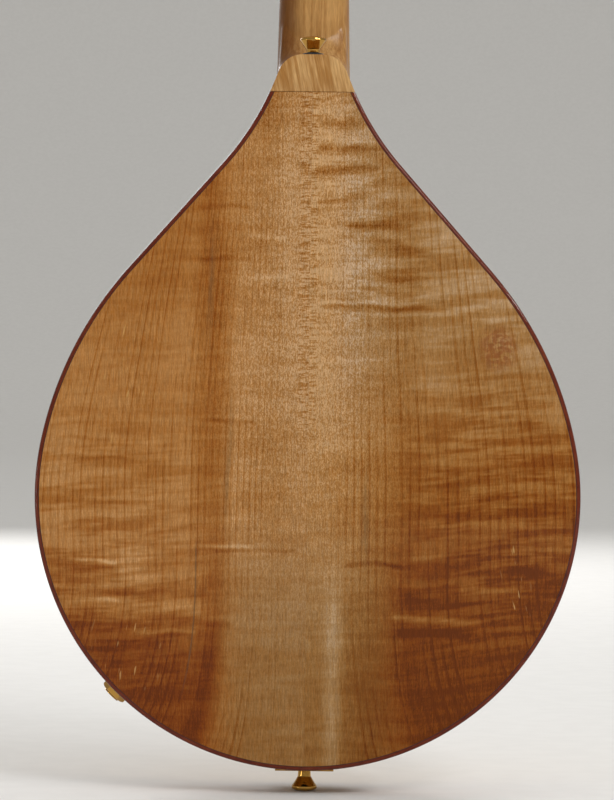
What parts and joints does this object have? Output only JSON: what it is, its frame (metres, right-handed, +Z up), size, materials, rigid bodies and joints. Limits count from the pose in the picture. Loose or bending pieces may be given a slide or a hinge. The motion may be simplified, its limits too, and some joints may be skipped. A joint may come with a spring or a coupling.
{
  "type": "mandolin",
  "caption": "Teardrop mandolin with flamed back, arched plates, oval soundhole, floating bridge, covered tailpiece and geared tuners.",
  "frame": {"origin": "tail end of the body's rim, on the centreline, midway between soundboard and back; a stand's cradle carries the instrument there", "axes": "+Z up the neck, +Y out of the back, -Y out of the soundboard, +X towards the treble side"},
  "size_m": [0.2684, 0.0857, 0.649],
  "materials": {
    "maple_back": "gloss",
    "maple_side": "gloss",
    "maple_neck": "satin",
    "spruce_top": "gloss",
    "spruce_brace": "bare",
    "bloodwood_binding": "gloss",
    "mahogany_inner": "bare",
    "ebony": "satin",
    "rosewood_veneer": "gloss",
    "bone_nut": "polished",
    "gold_hardware": "polished gold plate",
    "tuner_knob": "pearl",
    "brass_wheel": "polished",
    "steel_string": "bright",
    "wound_string": "bright",
    "steel_rod": "plain",
    "felt": "felt",
    "lead_sheath": "matt"
  },
  "bodies": {
    "instrument": {"back_bass": "maple_back", "back_binding": "bloodwood_binding", "back_bracing": "spruce_brace", "back_lining": "mahogany_inner", "back_treble": "maple_back", "bridge_base": "ebony", "end_button": "gold_hardware", "fingerboard": "ebony", "headstock_veneer": "rosewood_veneer", "heel_button": "gold_hardware", "heel_button_washer": "felt", "heel_cap": "maple_neck", "neck": "maple_neck", "neck_block": "mahogany_inner", "nut": "bone_nut", "output_jack": "gold_hardware", "pickup": "brass_wheel", "pickup_lead": "lead_sheath", "side_bass": "maple_side", "side_treble": "maple_side", "string_a1": "steel_string", "string_a2": "steel_string", "string_d1": "wound_string", "string_d2": "wound_string", "string_e1": "steel_string", "string_e2": "steel_string", "string_g1": "wound_string", "string_g2": "wound_string", "tail_block": "mahogany_inner", "tail_graft": "bloodwood_binding", "tailpiece": "gold_hardware", "top_bass": "spruce_top", "top_binding": "bloodwood_binding", "top_bracing": "spruce_brace", "top_lining": "mahogany_inner", "top_treble": "spruce_top", "truss_rod": "steel_rod", "truss_rod_cover": "ebony", "tuner_plate_bass": "gold_hardware", "tuner_plate_treble": "gold_hardware"},
    "tuner_button_1": {"tuner_button_1": "tuner_knob"},
    "tuner_post_1": {"tuner_post_1": "gold_hardware"},
    "tuner_button_2": {"tuner_button_2": "tuner_knob"},
    "tuner_post_2": {"tuner_post_2": "gold_hardware"},
    "tuner_button_3": {"tuner_button_3": "tuner_knob"},
    "tuner_post_3": {"tuner_post_3": "gold_hardware"},
    "tuner_button_4": {"tuner_button_4": "tuner_knob"},
    "tuner_post_4": {"tuner_post_4": "gold_hardware"},
    "tuner_button_5": {"tuner_button_5": "tuner_knob"},
    "tuner_post_5": {"tuner_post_5": "gold_hardware"},
    "tuner_button_6": {"tuner_button_6": "tuner_knob"},
    "tuner_post_6": {"tuner_post_6": "gold_hardware"},
    "tuner_button_7": {"tuner_button_7": "tuner_knob"},
    "tuner_post_7": {"tuner_post_7": "gold_hardware"},
    "tuner_button_8": {"tuner_button_8": "tuner_knob"},
    "tuner_post_8": {"tuner_post_8": "gold_hardware"},
    "thumbwheel_bass": {"thumbwheel_bass": "brass_wheel"},
    "thumbwheel_treble": {"thumbwheel_treble": "brass_wheel"},
    "bridge_saddle": {"bridge_saddle": "ebony"},
    "tailpiece_cover": {"tailpiece_cover": "gold_hardware"}
  },
  "joints": [
    {"name": "tuner_button_1_turn", "type": "hinge", "parent": "instrument", "child": "tuner_button_1", "pos_m": [-0.0208, 0.00946, 0.52661], "axis": [1, 0, 0], "continuous": true},
    {"name": "tuner_post_1_turn", "type": "hinge", "parent": "instrument", "child": "tuner_post_1", "pos_m": [-0.0208, -0.00376, 0.53912], "axis": [0, -0.9563, 0.2924], "continuous": true},
    {"name": "tuner_button_2_turn", "type": "hinge", "parent": "instrument", "child": "tuner_button_2", "pos_m": [-0.0208, 0.01619, 0.54861], "axis": [1, 0, 0], "continuous": true},
    {"name": "tuner_post_2_turn", "type": "hinge", "parent": "instrument", "child": "tuner_post_2", "pos_m": [-0.0208, 0.00297, 0.56112], "axis": [0, -0.9563, 0.2924], "continuous": true},
    {"name": "tuner_button_3_turn", "type": "hinge", "parent": "instrument", "child": "tuner_button_3", "pos_m": [-0.0208, 0.02291, 0.5706], "axis": [1, 0, 0], "continuous": true},
    {"name": "tuner_post_3_turn", "type": "hinge", "parent": "instrument", "child": "tuner_post_3", "pos_m": [-0.0208, 0.00969, 0.58311], "axis": [0, -0.9563, 0.2924], "continuous": true},
    {"name": "tuner_button_4_turn", "type": "hinge", "parent": "instrument", "child": "tuner_button_4", "pos_m": [-0.0208, 0.02963, 0.5926], "axis": [1, 0, 0], "continuous": true},
    {"name": "tuner_post_4_turn", "type": "hinge", "parent": "instrument", "child": "tuner_post_4", "pos_m": [-0.0208, 0.01642, 0.60511], "axis": [0, -0.9563, 0.2924], "continuous": true},
    {"name": "tuner_button_5_turn", "type": "hinge", "parent": "instrument", "child": "tuner_button_5", "pos_m": [0.0208, 0.00946, 0.52661], "axis": [1, 0, 0], "continuous": true},
    {"name": "tuner_post_5_turn", "type": "hinge", "parent": "instrument", "child": "tuner_post_5", "pos_m": [0.0208, -0.00376, 0.53912], "axis": [0, -0.9563, 0.2924], "continuous": true},
    {"name": "tuner_button_6_turn", "type": "hinge", "parent": "instrument", "child": "tuner_button_6", "pos_m": [0.0208, 0.01619, 0.54861], "axis": [1, 0, 0], "continuous": true},
    {"name": "tuner_post_6_turn", "type": "hinge", "parent": "instrument", "child": "tuner_post_6", "pos_m": [0.0208, 0.00297, 0.56112], "axis": [0, -0.9563, 0.2924], "continuous": true},
    {"name": "tuner_button_7_turn", "type": "hinge", "parent": "instrument", "child": "tuner_button_7", "pos_m": [0.0208, 0.02291, 0.5706], "axis": [1, 0, 0], "continuous": true},
    {"name": "tuner_post_7_turn", "type": "hinge", "parent": "instrument", "child": "tuner_post_7", "pos_m": [0.0208, 0.00969, 0.58311], "axis": [0, -0.9563, 0.2924], "continuous": true},
    {"name": "tuner_button_8_turn", "type": "hinge", "parent": "instrument", "child": "tuner_button_8", "pos_m": [0.0208, 0.02963, 0.5926], "axis": [1, 0, 0], "continuous": true},
    {"name": "tuner_post_8_turn", "type": "hinge", "parent": "instrument", "child": "tuner_post_8", "pos_m": [0.0208, 0.01642, 0.60511], "axis": [0, -0.9563, 0.2924], "continuous": true},
    {"name": "saddle_height", "type": "slide", "parent": "instrument", "child": "bridge_saddle", "axis": [0, -1, 0], "range_m": [-0.0012, 0]},
    {"name": "thumbwheel_bass_turn", "type": "hinge", "parent": "bridge_saddle", "child": "thumbwheel_bass", "pos_m": [-0.036, -0.0378, 0.15845], "axis": [0, -1, 0], "range_deg": [-540, 0]},
    {"name": "thumbwheel_treble_turn", "type": "hinge", "parent": "bridge_saddle", "child": "thumbwheel_treble", "pos_m": [0.036, -0.0378, 0.15845], "axis": [0, -1, 0], "range_deg": [-540, 0]},
    {"name": "tailpiece_cover_slide", "type": "slide", "parent": "instrument", "child": "tailpiece_cover", "axis": [0, 0, 1], "range_m": [0, 0.02]}
  ],
  "couplings": [
    {"joint": "tuner_post_1_turn", "follows": "tuner_button_1_turn", "ratio": 0.066667},
    {"joint": "tuner_post_2_turn", "follows": "tuner_button_2_turn", "ratio": 0.066667},
    {"joint": "tuner_post_3_turn", "follows": "tuner_button_3_turn", "ratio": 0.066667},
    {"joint": "tuner_post_4_turn", "follows": "tuner_button_4_turn", "ratio": 0.066667},
    {"joint": "tuner_post_5_turn", "follows": "tuner_button_5_turn", "ratio": 0.066667},
    {"joint": "tuner_post_6_turn", "follows": "tuner_button_6_turn", "ratio": 0.066667},
    {"joint": "tuner_post_7_turn", "follows": "tuner_button_7_turn", "ratio": 0.066667},
    {"joint": "tuner_post_8_turn", "follows": "tuner_button_8_turn", "ratio": 0.066667},
    {"joint": "thumbwheel_bass_turn", "follows": "saddle_height", "rad_per_m": 7854},
    {"joint": "thumbwheel_treble_turn", "follows": "saddle_height", "rad_per_m": 7854}
  ]
}
